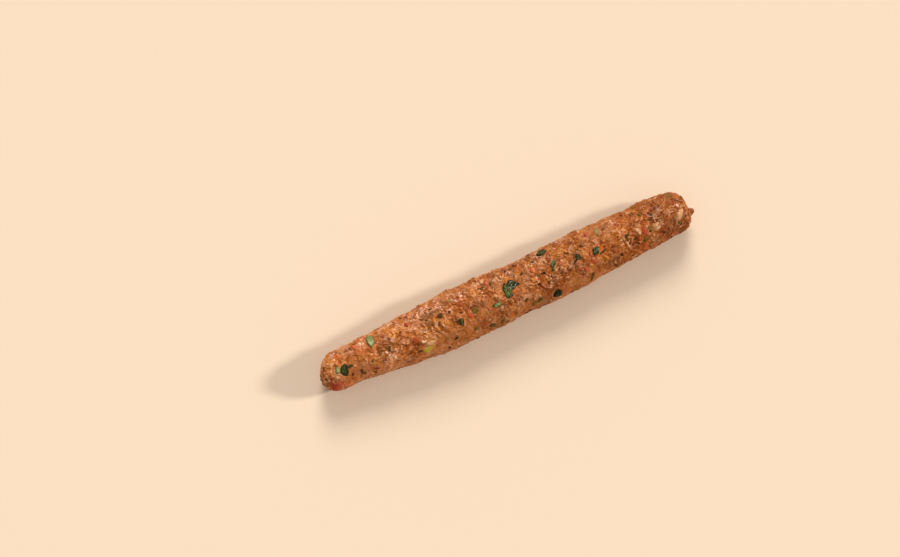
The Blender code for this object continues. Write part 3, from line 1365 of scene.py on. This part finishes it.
@dataclass
class Shreds:
    """Torn strands of meat, as one piece."""

    name: str
    bundles: tuple[Bundle, ...]
    tails: int = 4
    tail_length: float = 0.0050
    tail_thickness: float = 0.0013
    seed: int = 21
    points: int = 11
    sides: int = 8
    flatness: float = 0.65

    def build(self, surface: Surface, material: bpy.types.Material) -> bpy.types.Object:
        """Lays every strand.

        Args:
            surface: The meat.
            material: The strands' material.

        Returns:
            The finished piece.
        """
        mesh = bmesh.new()
        layers = {name: mesh.verts.layers.float.new(name) for name in (PROUD, CALM)}
        seat = mesh.verts.layers.float_vector.new(SEAT)
        dice = random.Random(self.seed)
        for bundle in self.bundles:
            for _ in range(bundle.count):
                self.tube(mesh, self.lying(bundle, surface, dice), bundle.thickness, dice)
        for _ in range(self.tails):
            self.tube(mesh, self.tail(surface, dice), self.tail_thickness, dice)
        for vertex in mesh.verts:
            vertex[layers[CALM]] = 0.0
            vertex[seat] = vertex.co
        data = bpy.data.meshes.new(self.name)
        bmesh.ops.recalc_face_normals(mesh, faces=mesh.faces)
        mesh.to_mesh(data)
        mesh.free()
        data.materials.append(material)
        data.shade_smooth()
        piece = bpy.data.objects.new(self.name, data)
        bpy.context.scene.collection.objects.link(piece)
        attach(piece, BODY)
        return piece

    def lying(self, bundle: Bundle, surface: Surface, dice: random.Random) -> list[tuple[Vector, Vector]]:
        """The path of a strand that lies on the meat.

        Args:
            bundle: The bundle that it is in.
            surface: The meat.
            dice: Where its place and its bends come from.

        Returns:
            Points and their outward ways.
        """
        centre, out = surface.spot(bundle.along, bundle.around)
        side = out.cross(Vector((1.0, 0.0, 0.0))).normalized()
        front = side.cross(out)
        turn = math.radians(bundle.turn + dice.uniform(-25.0, 25.0))
        way = math.cos(turn) * front + math.sin(turn) * side
        across = out.cross(way)
        shift = dice.uniform(-bundle.spread, bundle.spread)
        start = centre + shift * across + dice.uniform(-0.4, 0.4) * bundle.spread * way
        bow = dice.uniform(-0.3, 0.3) * bundle.length
        length = bundle.length * dice.uniform(0.6, 1.0)
        path = []
        for index in range(self.points):
            share = index / (self.points - 1)
            point = start + (share - 0.5) * length * way + bow * math.sin(math.pi * share) * across
            smooth, normal, grains = surface.lay(point, out)
            path.append((smooth + normal * (0.5 * grains + 0.10 * bundle.thickness), normal))
        return path

    def tail(self, surface: Surface, dice: random.Random) -> list[tuple[Vector, Vector]]:
        """The path of a strand that is drawn out of the blunt end.

        Args:
            surface: The meat, whose furthest point is the tip of the torn shred.
            dice: Where its bends come from.

        Returns:
            Points and their outward ways.
        """
        tip = surface.far_tip
        bend = Vector((0.0, dice.uniform(-1.0, 1.0), dice.uniform(-1.0, 1.0))) * 0.0009
        root = tip + Vector((-self.tail_length, 0.0, 0.0)) + 2.0 * bend
        end = tip + Vector((dice.uniform(-0.0012, 0.0004), 0.0, 0.0)) + 0.6 * bend
        path = []
        for index in range(self.points):
            share = index / (self.points - 1)
            point = root.lerp(end, share) + 0.5 * math.sin(math.pi * share) * bend
            path.append((point, Vector((0.0, 0.0, 1.0))))
        return path

    def tube(
        self, mesh: bmesh.types.BMesh, path: list[tuple[Vector, Vector]], thickness: float, dice: random.Random
    ) -> None:
        """Adds a closed strand that tapers to both ends.

        Args:
            mesh: The mesh that gets it.
            path: Points and their outward ways.
            thickness: Its thickness in the middle.
            dice: Where its unevenness comes from.
        """
        rings = []
        for index, (point, out) in enumerate(path):
            before, after = path[max(index - 1, 0)][0], path[min(index + 1, len(path) - 1)][0]
            way = (after - before).normalized()
            side = way.cross(out).normalized()
            share = index / (len(path) - 1)
            radius = 0.5 * thickness * (0.25 + 0.75 * math.sin(math.pi * share) ** 0.5) * dice.uniform(0.85, 1.15)
            ring = []
            for step in range(self.sides):
                angle = 2 * math.pi * step / self.sides
                offset = radius * (math.cos(angle) * side + self.flatness * math.sin(angle) * side.cross(way))
                made = mesh.verts.new(point + offset)
                # The outer side of each strand gets a high proud value and the inner side a low one, so the meat's
                # finish paints a highlight on top and shade underneath.
                made[mesh.verts.layers.float[PROUD]] = 0.7 + 0.6 * math.sin(angle)
                ring.append(made)
            rings.append(ring)
        for near, far in zip(rings, rings[1:]):
            for step in range(self.sides):
                after = (step + 1) % self.sides
                mesh.faces.new((near[step], near[after], far[after], far[step]))
        mesh.faces.new(rings[0][::-1])
        mesh.faces.new(rings[-1])


@dataclass
class Scatter:
    """Small things strewn over the meat and partly sunk in it, each with its own size and turn."""

    name: str
    slot: Slot
    density: float
    seed: int
    top_share: float = 1.0

    def tree(self, sizes: dict[str, float]) -> GeometryTree:
        """Starts the tree.

        Args:
            sizes: The sizes of one thing.

        Returns:
            A tree whose inputs are the sizes and the density.
        """
        return GeometryTree(self.name, {"Density": self.density, **sizes})

    def random(self, desk: NodeDesk, low: float, high: float, offset: int) -> Socket:
        """A number that is different for each thing.

        Args:
            desk: The tree it is drawn in.
            low: The lowest number.
            high: The highest number.
            offset: What is added to the seed.

        Returns:
            The number.
        """
        inputs = {"Min": low, "Max": high, "Seed": self.seed + offset}
        return self.desk_value(desk.add("FunctionNodeRandomValue", inputs, data_type="FLOAT"))

    @staticmethod
    def desk_value(node: bpy.types.Node) -> Socket:
        """The value that a random node puts out."""
        return NodeDesk.out(node, "Value")

    def strew(self, tree: GeometryTree, shape: Socket, sink: Value, grow: tuple[float, float]) -> Socket:
        """Strews a shape over the skin, above the flat base.

        Args:
            tree: The tree.
            shape: The shape, lying flat round its centre.
            sink: How deep each copy's centre lies.
            grow: The smallest and the largest copy, as shares of the shape.

        Returns:
            The copies, which carry their outward way and their tint.
        """
        desk, given = tree.desk, tree.given.outputs
        place = desk.add("GeometryNodeInputPosition").outputs[0]
        upward = desk.split(desk.add("GeometryNodeInputNormal").outputs[0])[2]
        clear = desk.ramp(desk.split(place)[2], 0.0022, 0.0045)
        share = desk.math("MULTIPLY", clear, desk.ramp(upward, 0.25, 0.55, 1.0, self.top_share))
        bare = desk.ramp(desk.named(NEST), 0.35, 0.80, 1.0, 0.0)
        density = desk.math("MULTIPLY", desk.math("MULTIPLY", share, bare), given["Density"])
        inputs = {"Mesh": given["Geometry"], "Density": density, "Seed": self.seed}
        points = desk.add("GeometryNodeDistributePointsOnFaces", inputs)
        spin = desk.add("ShaderNodeCombineXYZ", {"Z": self.random(desk, 0.0, 2.0 * math.pi, 1)})
        turned = desk.add("FunctionNodeEulerToRotation", {"Euler": spin.outputs[0]})
        rotation = desk.add(
            "FunctionNodeRotateRotation",
            {"Rotation": points.outputs["Rotation"], "Rotate By": turned.outputs[0]},
            rotation_space="LOCAL",
        )
        out = self.captured(desk, points)
        size = self.random(desk, *grow, 2)
        copies = desk.add(
            "GeometryNodeInstanceOnPoints",
            {"Points": out, "Instance": shape, "Rotation": rotation.outputs[0], "Scale": size},
        )
        tinted = tree.store(copies.outputs[0], "INSTANCE", **{TINT: self.random(desk, 0.0, 1.0, 3)})
        deep = desk.add("ShaderNodeCombineXYZ", {"Z": desk.math("MULTIPLY", sink, -1.0)})
        inputs = {"Instances": tinted, "Translation": deep.outputs[0], "Local Space": True}
        return desk.add("GeometryNodeTranslateInstances", inputs).outputs[0]

    @staticmethod
    def captured(desk: NodeDesk, points: bpy.types.Node) -> Socket:
        """Keeps the skin's outward way on the strewn points."""
        kept = desk.add(
            "GeometryNodeStoreNamedAttribute",
            {"Geometry": points.outputs["Points"], "Name": OUT, "Value": points.outputs["Normal"]},
            data_type="FLOAT_VECTOR",
            domain="POINT",
        )
        return kept.outputs[0]

    def wobble(self, desk: NodeDesk, geometry: Socket, size: Value, amount: Value) -> Socket:
        """Bends the copies, each in its own way.

        Args:
            desk: The tree.
            geometry: The realized copies.
            size: The size of the bends.
            amount: How far they reach.

        Returns:
            The bent copies.
        """
        place = desk.add("GeometryNodeInputPosition").outputs[0]
        cloud = desk.noise(place, size, 1.0).outputs["Color"]
        shift = desk.vector("SUBTRACT", cloud, (0.5, 0.5, 0.5))
        offset = desk.vector("SCALE", shift, desk.math("MULTIPLY", amount, 2.0))
        return desk.add("GeometryNodeSetPosition", {"Geometry": geometry, "Offset": offset}).outputs[0]

    def settle(self, tree: GeometryTree, geometry: Socket, lift: Value, reach: float = 0.004) -> Socket:
        """Drops the bent copies back onto the skin.

        Args:
            tree: The tree, whose own geometry is the skin.
            geometry: The realized copies.
            lift: How high each point ends above the skin.
            reach: How far above the skin the drop starts.

        Returns:
            The settled copies.
        """
        desk = tree.desk
        place = desk.add("GeometryNodeInputPosition").outputs[0]
        inputs = {"Name": OUT}
        out = desk.out(desk.add("GeometryNodeInputNamedAttribute", inputs, data_type="FLOAT_VECTOR"), "Attribute")
        high = desk.vector("ADD", place, desk.vector("SCALE", out, reach))
        down = desk.vector("SCALE", out, -1.0)
        hit = desk.add(
            "GeometryNodeRaycast",
            {
                "Target Geometry": tree.given.outputs["Geometry"],
                "Source Position": high,
                "Ray Direction": down,
                "Ray Length": 3.0 * reach,
            },
        )
        landed = desk.vector("ADD", hit.outputs["Hit Position"], desk.vector("SCALE", out, lift))
        inputs = {"Geometry": geometry, "Selection": hit.outputs["Is Hit"], "Position": landed}
        return desk.add("GeometryNodeSetPosition", inputs).outputs[0]

    def make(self, tree: GeometryTree, meat: bpy.types.Object) -> bpy.types.Object:
        """Runs the tree over the meat.

        Args:
            tree: The finished tree.
            meat: The meat.

        Returns:
            The finished piece.
        """
        piece = bpy.data.objects.new(self.name, meat.data.copy())
        bpy.context.scene.collection.objects.link(piece)
        tree.apply(piece)
        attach(piece, BODY)
        return piece


@dataclass
class Crumbs(Scatter):
    """Loose grains of mince."""

    length: float = 0.0024
    width: float = 0.0018
    thickness: float = 0.0013
    sink: float = 0.00038
    bend: float = 0.0005
    bend_size: float = 0.0011
    grow: tuple[float, float] = (0.5, 1.05)

    def build(self, meat: bpy.types.Object, material: bpy.types.Material) -> bpy.types.Object:
        """Strews the grains.

        Args:
            meat: The meat.
            material: The grains' material.

        Returns:
            The finished piece.
        """
        sizes = {
            "Length": self.length,
            "Width": self.width,
            "Thickness": self.thickness,
            "Sink": self.sink,
            "Bend": self.bend,
            "Bend Size": self.bend_size,
        }
        tree = self.tree(sizes)
        desk, given = tree.desk, tree.given.outputs
        ball = desk.add("GeometryNodeMeshIcoSphere", {"Radius": 0.5, "Subdivisions": 2})
        height = desk.split(desk.add("GeometryNodeInputPosition").outputs[0])[2]
        tall = tree.store(ball.outputs[0], "POINT", **{LEVEL: height})
        size = desk.add(
            "ShaderNodeCombineXYZ", {"X": given["Length"], "Y": given["Width"], "Z": given["Thickness"]}
        )
        grain = desk.add("GeometryNodeTransform", {"Geometry": tall, "Scale": size.outputs[0]})
        strewn = self.strew(tree, grain.outputs[0], given["Sink"], self.grow)
        whole = desk.add("GeometryNodeRealizeInstances", {"Geometry": strewn}).outputs[0]
        bent = self.wobble(desk, whole, given["Bend Size"], given["Bend"])
        place = desk.add("GeometryNodeInputPosition").outputs[0]
        # Proud rises from the bottom of each grain to its top, so the meat's finish paints shade under the grain and
        # a highlight on its top.
        pale = desk.math("ADD", 0.85, desk.math("MULTIPLY", desk.named(TINT), 0.55))
        proud = desk.math("MULTIPLY", desk.math("ADD", desk.named(LEVEL), 0.5), pale)
        marked = tree.store(bent, "POINT", **{SEAT: place, PROUD: proud, CALM: 0.0})
        tree.finish(marked, material)
        return self.make(tree, meat)


@dataclass
class Strands(Scatter):
    """Curled strands that the mincer pressed out."""

    length: float = 0.0046
    thickness: float = 0.0012
    points: int = 9
    sides: int = 6
    sink: float = 0.00028
    bend: float = 0.0022
    bend_size: float = 0.0024
    grow: tuple[float, float] = (0.5, 1.3)

    def build(self, meat: bpy.types.Object, material: bpy.types.Material) -> bpy.types.Object:
        """Strews the strands.

        Args:
            meat: The meat.
            material: The strands' material.

        Returns:
            The finished piece.
        """
        sizes = {
            "Length": self.length,
            "Thickness": self.thickness,
            "Sink": self.sink,
            "Bend": self.bend,
            "Bend Size": self.bend_size,
        }
        tree = self.tree(sizes)
        desk, given = tree.desk, tree.given.outputs
        half = desk.math("MULTIPLY", given["Length"], 0.5)
        start = desk.add("ShaderNodeCombineXYZ", {"X": desk.math("MULTIPLY", half, -1.0)})
        end = desk.add("ShaderNodeCombineXYZ", {"X": half})
        line = desk.add(
            "GeometryNodeCurvePrimitiveLine", {"Start": start.outputs[0], "End": end.outputs[0]}
        )
        fine = desk.add("GeometryNodeResampleCurve", {"Curve": line.outputs[0], "Count": self.points})
        strewn = self.strew(tree, fine.outputs[0], given["Sink"], self.grow)
        whole = desk.add("GeometryNodeRealizeInstances", {"Geometry": strewn}).outputs[0]
        bent = self.wobble(desk, whole, given["Bend Size"], given["Bend"])
        settled = self.settle(tree, bent, desk.math("SUBTRACT", 0.0, given["Sink"]))
        along = desk.add("GeometryNodeSplineParameter").outputs["Factor"]
        taper = desk.math("POWER", desk.math("SINE", desk.math("MULTIPLY", along, math.pi)), 0.5)
        radius = desk.math("ADD", desk.math("MULTIPLY", taper, 0.75), 0.25)
        slim = desk.add("GeometryNodeSetCurveRadius", {"Curve": settled, "Radius": radius})
        ring = desk.add(
            "GeometryNodeCurvePrimitiveCircle",
            {"Resolution": self.sides, "Radius": desk.math("MULTIPLY", given["Thickness"], 0.5)},
        )
        tube = desk.add(
            "GeometryNodeCurveToMesh",
            {"Curve": slim.outputs[0], "Profile Curve": ring.outputs[0], "Fill Caps": True},
        )
        place = desk.add("GeometryNodeInputPosition").outputs[0]
        marked = tree.store(tube.outputs[0], "POINT", **{SEAT: place, PROUD: 0.8, CALM: 0.0})
        tree.finish(marked, material)
        return self.make(tree, meat)


@dataclass
class Flecks(Crumbs):
    """Finely chopped herbs, flat against the skin."""

    lift: float = 0.00012

    def build(self, meat: bpy.types.Object, material: bpy.types.Material) -> bpy.types.Object:
        """Strews the flecks.

        Args:
            meat: The meat.
            material: The flecks' material.

        Returns:
            The finished piece.
        """
        sizes = {
            "Length": self.length,
            "Width": self.width,
            "Thickness": self.thickness,
            "Sink": self.sink,
            "Bend": self.bend,
            "Bend Size": self.bend_size,
            "Lift": self.lift,
        }
        tree = self.tree(sizes)
        desk, given = tree.desk, tree.given.outputs
        ball = desk.add("GeometryNodeMeshIcoSphere", {"Radius": 0.5, "Subdivisions": 2})
        height = desk.split(desk.add("GeometryNodeInputPosition").outputs[0])[2]
        tall = tree.store(ball.outputs[0], "POINT", **{LEVEL: height})
        size = desk.add("ShaderNodeCombineXYZ", {"X": given["Length"], "Y": given["Width"], "Z": given["Thickness"]})
        fleck = desk.add("GeometryNodeTransform", {"Geometry": tall, "Scale": size.outputs[0]})
        strewn = self.strew(tree, fleck.outputs[0], given["Sink"], self.grow)
        whole = desk.add("GeometryNodeRealizeInstances", {"Geometry": strewn}).outputs[0]
        bent = self.wobble(desk, whole, given["Bend Size"], given["Bend"])
        level = desk.out(desk.add("GeometryNodeInputNamedAttribute", {"Name": LEVEL}, data_type="FLOAT"), "Attribute")
        lift = desk.math("ADD", desk.math("MULTIPLY", level, given["Thickness"]), given["Lift"])
        settled = self.settle(tree, bent, lift)
        place = desk.add("GeometryNodeInputPosition").outputs[0]
        tree.finish(tree.store(settled, "POINT", **{FLAT: place}), material)
        return self.make(tree, meat)


@dataclass(frozen=True)
class SoftLamp:
    """A distant soft lamp."""

    heading: tuple[float, float]
    elevation: float
    strength: float
    softness: float

    def hang(self, name: str) -> None:
        """Adds the lamp to the scene.

        Args:
            name: The lamp's name.
        """
        light = bpy.data.lights.new(name, "SUN")
        light.energy = self.strength
        light.angle = math.radians(self.softness)
        lamp = bpy.data.objects.new(name, light)
        bpy.context.scene.collection.objects.link(lamp)
        rise = math.radians(self.elevation)
        flat = Vector(self.heading).normalized() * math.cos(rise)
        back = Vector((flat.x, flat.y, math.sin(rise)))
        lamp.location = back
        lamp.rotation_euler = back.to_track_quat("Z", "Y").to_euler()


@dataclass
class Studio:
    """The plain pale floor, the soft lights and the camera."""

    floor_colour: Colour = (0.775, 0.598, 0.429)
    lamps: dict[str, "SoftLamp"] = field(
        default_factory=lambda: {
            "key": SoftLamp((0.96, -0.28), 28.0, 2.3, 8.0),
            "window": SoftLamp((0.42, 0.91), 36.0, 2.45, 26.0),
        }
    )
    dome_colour: Colour = (1.0, 0.98, 0.95)
    dome_strength: float = 0.44
    backdrop: Colour = (0.86, 0.80, 0.72)
    azimuth: float = -25.0
    elevation: float = 80.0
    lens: float = 70.0
    sensor: float = 36.0
    view_width: float = 0.4957
    aim_right: float = -0.0336
    aim_up: float = 0.0069

    def build(self) -> None:
        """Makes the floor, lights, world and camera."""
        self.floor()
        self.lights()
        self.camera()
        bpy.context.scene.view_settings.view_transform = "Standard"

    def floor(self) -> None:
        """A wide matt floor under the roll."""
        bpy.ops.mesh.primitive_plane_add(size=6.0, location=(0.0, 0.0, 0.0))
        floor = bpy.context.object
        floor.name = "floor"
        material = bpy.data.materials.new("floor_paint")
        material.use_nodes = True
        shader = material.node_tree.nodes["Principled BSDF"]
        shader.inputs["Base Color"].default_value = (*self.floor_colour, 1.0)
        shader.inputs["Roughness"].default_value = 0.85
        floor.data.materials.append(material)
        floor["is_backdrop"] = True

    def lights(self) -> None:
        """A soft key from the right, low enough to graze the grains, and a pale dome."""
        for name, lamp in self.lamps.items():
            lamp.hang(name)
        world = bpy.data.worlds.new("dome")
        bpy.context.scene.world = world
        world.use_nodes = True
        desk = NodeDesk(world.node_tree)
        dome = world.node_tree.nodes["Background"]
        dome.inputs["Color"].default_value = (*self.dome_colour, 1.0)
        dome.inputs["Strength"].default_value = self.dome_strength
        seen = desk.add("ShaderNodeBackground", {"Color": self.backdrop})
        either = desk.add("ShaderNodeMixShader", {"Fac": desk.add("ShaderNodeLightPath").outputs["Is Camera Ray"]})
        desk.feed(either.inputs[1], dome.outputs[0])
        desk.feed(either.inputs[2], seen.outputs[0])
        desk.feed(world.node_tree.nodes["World Output"].inputs["Surface"], either.outputs[0])

    def camera(self) -> None:
        """The camera, nearly overhead, with the roll a little to the right of the middle."""
        low, high = CAD_BOX
        a, e = math.radians(self.azimuth), math.radians(self.elevation)
        back = Vector((math.sin(a) * math.cos(e), -math.cos(a) * math.cos(e), math.sin(e)))
        right = Vector((math.cos(a), math.sin(a), 0.0))
        up = back.cross(right)
        target = (low + high) / 2 + right * self.aim_right + up * self.aim_up
        camera = bpy.data.objects.new("camera", bpy.data.cameras.new("camera"))
        camera.data.lens = self.lens
        camera.data.sensor_width = self.sensor
        camera.location = target + back * (self.view_width * self.lens / self.sensor)
        camera.rotation_euler = back.to_track_quat("Z", "Y").to_euler()
        bpy.context.scene.collection.objects.link(camera)
        bpy.context.scene.camera = camera


def chopped_pieces() -> tuple[Chips, ...]:
    """The chopped herbs and vegetables that lie in the roll's surface."""
    leaf = Cut(
        corners=6, per_edge=4, rings=5, rise=0.00045, sink=0.00015, crown=6.0, roundness=0.25,
        teeth=0.08, fold=0.00030, ripple=0.00035,
    )
    fleck = Cut(
        corners=6, per_edge=2, rings=4, rise=0.00030, sink=0.00022, crown=3.0, roundness=0.15, ripple=0.00030,
        unevenness=0.38,
    )
    dice = Cut(
        corners=4, per_edge=4, rings=4, rise=0.00055, sink=0.00025, crown=2.6, roundness=0.45, ripple=0.00025,
    )
    folded = Cut(
        corners=3, per_edge=7, rings=6, rise=0.00075, sink=0.00015, crown=4.0, roundness=0.20,
        teeth=0.10, fold=0.00035, ripple=0.00075, unevenness=0.10,
    )
    petal = Cut(
        corners=6, per_edge=3, rings=5, rise=0.00030, sink=0.00030, crown=2.0, roundness=0.12, ripple=0.00055,
        unevenness=0.42,
    )
    return (
        Chips(
            "parsley_leaves",
            Slot.PARSLEY,
            PARSLEY,
            leaf,
            (
                Chip(-0.1010, 15, 0.0075, 0.0050, 80, 0.10),
                Chip(-0.1045, 5, 0.0045, 0.0030, 60, 0.80),
                Chip(-0.0975, 10, 0.0040, 0.0015, 5, 0.15),
                Chip(-0.0820, -35, 0.0090, 0.0045, 85, 0.85),
                Chip(-0.0030, 5, 0.0095, 0.0045, 95, 0.40),
                Chip(0.0225, 65, 0.0060, 0.0050, 5, 0.00),
                Chip(0.0230, -55, 0.0065, 0.0045, -5, 0.25),
                Chip(0.0505, 5, 0.0055, 0.0045, 5, 0.35),
                Chip(0.0260, -10, 0.0060, 0.0025, 45, 0.40),
                Chip(-0.0325, 25, 0.0050, 0.0030, 75, 0.25),
                Chip(0.0400, 0, 0.0040, 0.0035, 80, 0.20),
                Chip(-0.0110, 25, 0.0055, 0.0025, 0, 0.80),
            ),
        ),
        Chips(
            "folded_leaf",
            Slot.PARSLEY,
            FOLDED_PARSLEY,
            folded,
            (
                Chip(0.0005, 0, 0.0085, 0.0105, -20, 0.15),
            ),
            seed=6,
            ripple_size=0.0022,
        ),
        Chips(
            "parsley_flecks",
            Slot.PARSLEY,
            CHOPPED_HERB,
            fleck,
            (
                Chip(-0.0795, 15, 0.0040, 0.0020, 35, 0.45),
                Chip(-0.0780, 10, 0.0020, 0.0015, 0, 0.05),
                Chip(-0.0920, 50, 0.0025, 0.0030, 0, 0.35),
                Chip(-0.0860, 65, 0.0020, 0.0030, 0, 0.20),
                Chip(-0.0855, 25, 0.0015, 0.0015, 0, 0.10),
                Chip(-0.0800, 35, 0.0015, 0.0015, 0, 0.10),
                Chip(-0.0600, 50, 0.0055, 0.0020, 5, 0.30),
                Chip(-0.0495, -15, 0.0035, 0.0025, -35, 0.30),
                Chip(-0.0520, -25, 0.0030, 0.0015, -35, 0.35),
                Chip(-0.0415, -10, 0.0040, 0.0040, 0, 0.05),
                Chip(-0.0365, -10, 0.0025, 0.0025, 0, 0.20),
                Chip(-0.0335, -35, 0.0030, 0.0030, 0, 0.60),
                Chip(-0.0440, 5, 0.0035, 0.0025, 75, 0.40),
                Chip(-0.0235, 15, 0.0055, 0.0035, 60, 0.40),
                Chip(-0.0305, 5, 0.0025, 0.0015, 0, 0.05),
                Chip(-0.0150, -30, 0.0035, 0.0030, -10, 0.30),
                Chip(-0.0270, 55, 0.0040, 0.0040, 0, 0.50),
                Chip(-0.0385, 55, 0.0040, 0.0030, 20, 0.10),
                Chip(-0.0175, 70, 0.0070, 0.0035, -25, 0.35),
                Chip(-0.0110, 70, 0.0060, 0.0025, 30, 0.40),
                Chip(0.0040, -50, 0.0045, 0.0025, 5, 0.35),
                Chip(0.0170, -40, 0.0030, 0.0020, 10, 0.50),
                Chip(0.0250, 5, 0.0035, 0.0020, 5, 0.20),
                Chip(0.0355, -20, 0.0050, 0.0020, -25, 0.25),
                Chip(0.0420, -15, 0.0040, 0.0015, -35, 0.25),
                Chip(0.0540, 15, 0.0060, 0.0015, 10, 0.10),
                Chip(0.0160, 0, 0.0025, 0.0020, 0, 0.30),
                Chip(0.0050, 45, 0.0035, 0.0030, 25, 0.20),
                Chip(0.0120, 65, 0.0065, 0.0045, 30, 0.50),
                Chip(0.0080, 65, 0.0055, 0.0035, 15, 0.50),
                Chip(0.0050, 85, 0.0040, 0.0035, 15, 0.10),
                Chip(0.0560, -40, 0.0065, 0.0035, 80, 0.85),
                Chip(0.0695, 5, 0.0045, 0.0035, 40, 0.20),
                Chip(0.0830, 15, 0.0050, 0.0025, 80, 0.25),
                Chip(0.0935, -35, 0.0035, 0.0025, -30, 0.20),
                Chip(0.0845, -10, 0.0015, 0.0015, 0, 0.00),
                Chip(0.0740, 35, 0.0020, 0.0020, 0, 0.00),
                Chip(0.0585, 75, 0.0020, 0.0035, 0, 0.00),
                Chip(0.0775, -45, 0.0030, 0.0025, 0, 0.45),
                Chip(0.0790, 35, 0.0050, 0.0040, 25, 0.40),
                Chip(0.1000, 35, 0.0040, 0.0045, 0, 0.30),
                Chip(0.0435, 75, 0.0115, 0.0030, 55, 0.30),
                Chip(0.1005, -60, 0.0075, 0.0045, -10, 0.45),
            ),
            seed=2,
            nest_share=0.45,
        ),
        Chips(
            "red_pepper_bits",
            Slot.RED_PEPPER,
            RED_PEPPER,
            dice,
            (
                Chip(-0.0915, -40, 0.0055, 0.0030, -75, 0.75),
                Chip(-0.0605, -30, 0.0035, 0.0040, 0, 0.15),
                Chip(-0.0595, 20, 0.0045, 0.0040, -10, 0.30),
                Chip(-0.0270, 20, 0.0045, 0.0040, -10, 0.55),
                Chip(0.0145, -20, 0.0045, 0.0045, 0, 0.70),
                Chip(0.0420, 40, 0.0050, 0.0040, -65, 0.60),
                Chip(0.0495, -45, 0.0055, 0.0035, 85, 0.35),
                Chip(0.0795, 10, 0.0070, 0.0045, 70, 0.35),
                Chip(0.0755, 25, 0.0035, 0.0020, 50, 0.30),
                Chip(-0.0115, -40, 0.0055, 0.0035, 85, 0.40),
                Chip(-0.0290, -15, 0.0035, 0.0030, 0, 0.30),
                Chip(-0.0285, -35, 0.0015, 0.0020, 0, 0.10),
                Chip(0.0475, 30, 0.0040, 0.0035, 0, 0.40),
                Chip(-0.0840, 50, 0.0040, 0.0020, -20, 0.10),
            ),
            seed=3,
        ),
        Chips(
            "onion_bits",
            Slot.ONION,
            ONION,
            petal,
            (
                Chip(-0.0880, -40, 0.0050, 0.0055, 0, 0.50),
                Chip(-0.0730, 40, 0.0040, 0.0040, 0, 0.70),
                Chip(-0.0555, 30, 0.0055, 0.0035, -35, 0.70),
                Chip(-0.0530, 40, 0.0100, 0.0055, -35, 0.45),
                Chip(0.0760, 5, 0.0065, 0.0035, -75, 0.70),
                Chip(0.0885, 15, 0.0105, 0.0070, -5, 0.55),
                Chip(0.1015, 10, 0.0115, 0.0050, 60, 0.50),
            ),
            seed=4,
            nest_share=0.6,
        ),
        Chips(
            "green_pepper_bits",
            Slot.GREEN_PEPPER,
            GREEN_PEPPER,
            petal,
            (
                Chip(-0.0555, 55, 0.0085, 0.0070, 5, 0.50),
                Chip(0.0610, 105, 0.0050, 0.0035, 30, 0.45),
                Chip(-0.0215, -110, 0.0045, 0.0035, 70, 0.55),
            ),
            seed=5,
            nest_share=0.8,
        ),
    )


def report(piece: bpy.types.Object) -> None:
    """Logs a finished piece."""
    LOG.info("%s: %d faces", piece.name, len(piece.data.polygons))


def main() -> None:
    """Builds the roll and its studio in order and reports each piece."""
    logging.basicConfig(level=logging.INFO, format="%(name)s: %(message)s")
    kinds = chopped_pieces()
    meat = Meat().build(kinds)
    report(meat)
    surface = Surface(meat)
    for chips in kinds:
        report(chips.build(surface))
    mince = meat.data.materials[0]
    shreds = Shreds(
        "mince_shreds",
        (
            Bundle(0.0905, -14, 16, 0.0105, 35, 0.0052, 0.0014),
            Bundle(0.0850, 48, 4, 0.0085, 5, 0.0016, 0.0009),
        ),
    )
    report(shreds.build(surface, mince))
    report(Crumbs("mince_crumbs", Slot.MEAT, density=52000.0, seed=11).build(meat, mince))
    report(Strands("mince_strands", Slot.MEAT, density=13000.0, seed=12).build(meat, mince))
    herbs = Flecks(
        "herb_flecks", Slot.PARSLEY, density=8000.0, seed=13, top_share=0.12,
        length=0.0032, width=0.0017, thickness=0.00040, sink=0.0, bend=0.0006, bend_size=0.0016,
    )
    report(herbs.build(meat, CHOPPED_HERB.material()))
    Studio().build()


if __name__ == "__main__":
    main()
